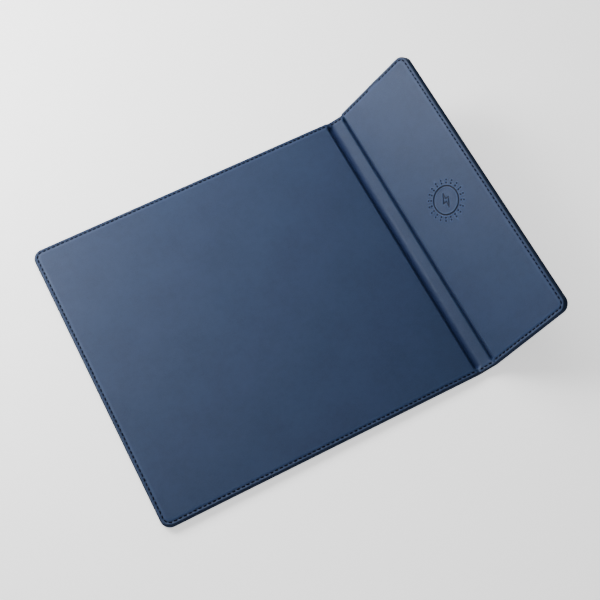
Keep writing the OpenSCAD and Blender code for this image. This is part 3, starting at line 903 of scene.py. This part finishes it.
def solder_mask(name, base):
    """A circuit board's green lacquer over copper tracks."""
    f = Finish(name, roughness=0.3, coat_weight=0.4)
    where = f.object_mm()
    track = f.add("TexVoronoi", {"Vector": where, "Scale": 0.55}, "Distance", distance="CHEBYCHEV",
                  feature="F2")
    share = f.span(track, 0.52, 0.58)
    f.colour(f.mix(share, base, [1.8 * c for c in base]))
    f.bump(share, 0.03 * MM)
    return f.material


def paint_edges(mesh, finish):
    """Gives the cut and painted walls of a skin their own matt finish."""
    mesh.materials.append(finish)
    rim = np.zeros(len(mesh.vertices))
    mesh.attributes["rim"].data.foreach_get("value", rim)
    is_wall = [int(rim[list(face.vertices)].min() > 0.9) for face in mesh.polygons]
    mesh.polygons.foreach_set("material_index", is_wall)


base_of = {m["slot"]: m["base_color"][:3] for m in frame["record"]["materials"]}
finishes = {
    # the fifth colour of each leatherette is the creases' tone: a darker pressed web and painted shade
    "leatherette_face": leatherette("leatherette_face", (0.0108, 0.0240, 0.063), (0.0150, 0.0323, 0.081),
                                    (0.0012, 0.0034, 0.012), (0.006, 0.009, 0.019), (0.0012, 0.0105, 0.050),
                                    0.05 * MM, 0.47),
    "leatherette_back": leatherette("leatherette_back", (0.0095, 0.018, 0.042), (0.012, 0.023, 0.052),
                                    (0.0036, 0.008, 0.022), (0.005, 0.008, 0.018), (0.0026, 0.0056, 0.016),
                                    0.05 * MM, 0.62),
    "painted_edge": grained("painted_edge", (0.0175, 0.0262, 0.0520), 0.15, 2.0, 0.04 * MM, 0.8,
                            specular=0.0),
    "thread": twisted_thread(),
    "foam": cellular("foam", base_of["foam"], 1.4, 0.25 * MM),
    "circuit_board": solder_mask("circuit_board", base_of["circuit_board"]),
}
GRAINS = {
    "board": dict(change=0.3, per_mm=1.2, depth=0.08 * MM, roughness=0.85, stretch=(0.35, 1, 1)),
    "case_plastic": dict(change=0.15, per_mm=5.0, depth=0.02 * MM, roughness=0.5),
    "ferrite": dict(change=0.2, per_mm=6.0, depth=0.02 * MM, roughness=0.7),
    "tape": dict(change=0.08, per_mm=0.8, depth=0.03 * MM, roughness=0.35),
    "copper_wire": dict(change=0.12, per_mm=3.0, depth=0.01 * MM, roughness=0.3, metallic=1.0),
    "sensor_bead": dict(change=0.1, per_mm=2.0, depth=0.02 * MM, roughness=0.2),
    "chip_plastic": dict(change=0.2, per_mm=7.0, depth=0.01 * MM, roughness=0.6),
    "ceramic": dict(change=0.1, per_mm=5.0, depth=0.01 * MM, roughness=0.4),
    "led_lens": dict(change=0.05, per_mm=2.0, depth=0.01 * MM, roughness=0.15),
    "port_steel": dict(change=0.06, per_mm=2.5, depth=0.006 * MM, roughness=0.28, metallic=1.0,
                       stretch=(1, 6, 1)),
    "screw_steel": dict(change=0.1, per_mm=4.0, depth=0.01 * MM, roughness=0.35, metallic=1.0),
    "gold_contacts": dict(change=0.05, per_mm=4.0, depth=0.004 * MM, roughness=0.22, metallic=1.0),
}
for slot, grain in GRAINS.items():
    finishes[slot] = grained(slot, base_of[slot], **grain)

for part in frame["record"]["subparts"]:
    node = frame["nodes"][part["node"]]
    for material_slot in node.material_slots:
        material_slot.material = finishes[part["material_slot"]]
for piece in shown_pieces():
    if "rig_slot" in piece:
        piece.data.materials.append(finishes[piece["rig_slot"]])
    if "rim" in piece.data.attributes:
        paint_edges(piece.data, finishes["painted_edge"])


# ---------------------------------------------------------------- floor and light

def floor():
    """A plain pale studio floor."""
    reach = 12.0
    drop = -0.03 * MM
    points = [(-reach, -reach, drop), (reach, -reach, drop), (reach, reach, drop), (-reach, reach, drop)]
    piece = mesh_piece("floor", points, [(0, 1, 2, 3)])
    f = Finish("studio_floor", roughness=0.9, specular_ior_level=0.1, emission_color=(1, 1, 1, 1),
               emission_strength=1.0)
    paper = f.noise(f.object_mm(), 0.05, 2.0)
    f.colour(f.mix(paper, (0.86, 0.86, 0.86), (0.9, 0.9, 0.9)))
    piece.data.materials.append(f.material)


def softbox(name, at, towards, size, watts, colour=(1, 1, 1)):
    """A large soft area light facing a point."""
    data = bpy.data.lights.new(name, "AREA")
    data.shape = "RECTANGLE"
    data.size, data.size_y = size
    data.energy = watts
    data.color = colour
    lamp = bpy.data.objects.new(name, data)
    bpy.context.scene.collection.objects.link(lamp)
    lamp.location = at
    lamp.rotation_euler = (Vector(towards) - Vector(at)).to_track_quat("-Z", "Y").to_euler()


def surroundings(low, high):
    """A studio's pale walls: brightness low near the horizon, fading to high overhead."""
    world = bpy.data.worlds.new("studio")
    bpy.context.scene.world = world
    world.use_nodes = True
    nodes, links = world.node_tree.nodes, world.node_tree.links
    direction = nodes.new("ShaderNodeTexCoord")
    parts = nodes.new("ShaderNodeSeparateXYZ")
    fade = nodes.new("ShaderNodeMapRange")
    fade.interpolation_type = "SMOOTHSTEP"
    for socket, value in zip(fade.inputs[1:5], (0.15, 0.42, low, high)):
        socket.default_value = value
    links.new(direction.outputs["Generated"], parts.inputs[0])
    links.new(parts.outputs["Z"], fade.inputs[0])
    background = nodes["Background"]
    background.inputs["Color"].default_value = (1, 1, 1, 1)
    links.new(fade.outputs[0], background.inputs["Strength"])


floor()
AIM = (0.03, 0.0, 0.0)
softbox("near_left_light", (-0.30, 0.42, 0.38), AIM, (0.3, 0.3), 6.9)
softbox("low_left_light", (-0.70, 0.75, 0.35), AIM, (0.5, 0.4), 0.6)
softbox("far_light", (-0.30, 1.10, 0.90), AIM, (1.2, 0.8), 6.0)
softbox("far_near_light", (0.10, 0.60, 0.50), AIM, (0.5, 0.4), 3.4)
softbox("top_light", (0.0, 0.1, 1.6), AIM, (1.2, 1.2), 3.45)
surroundings(0.78, 0.03)
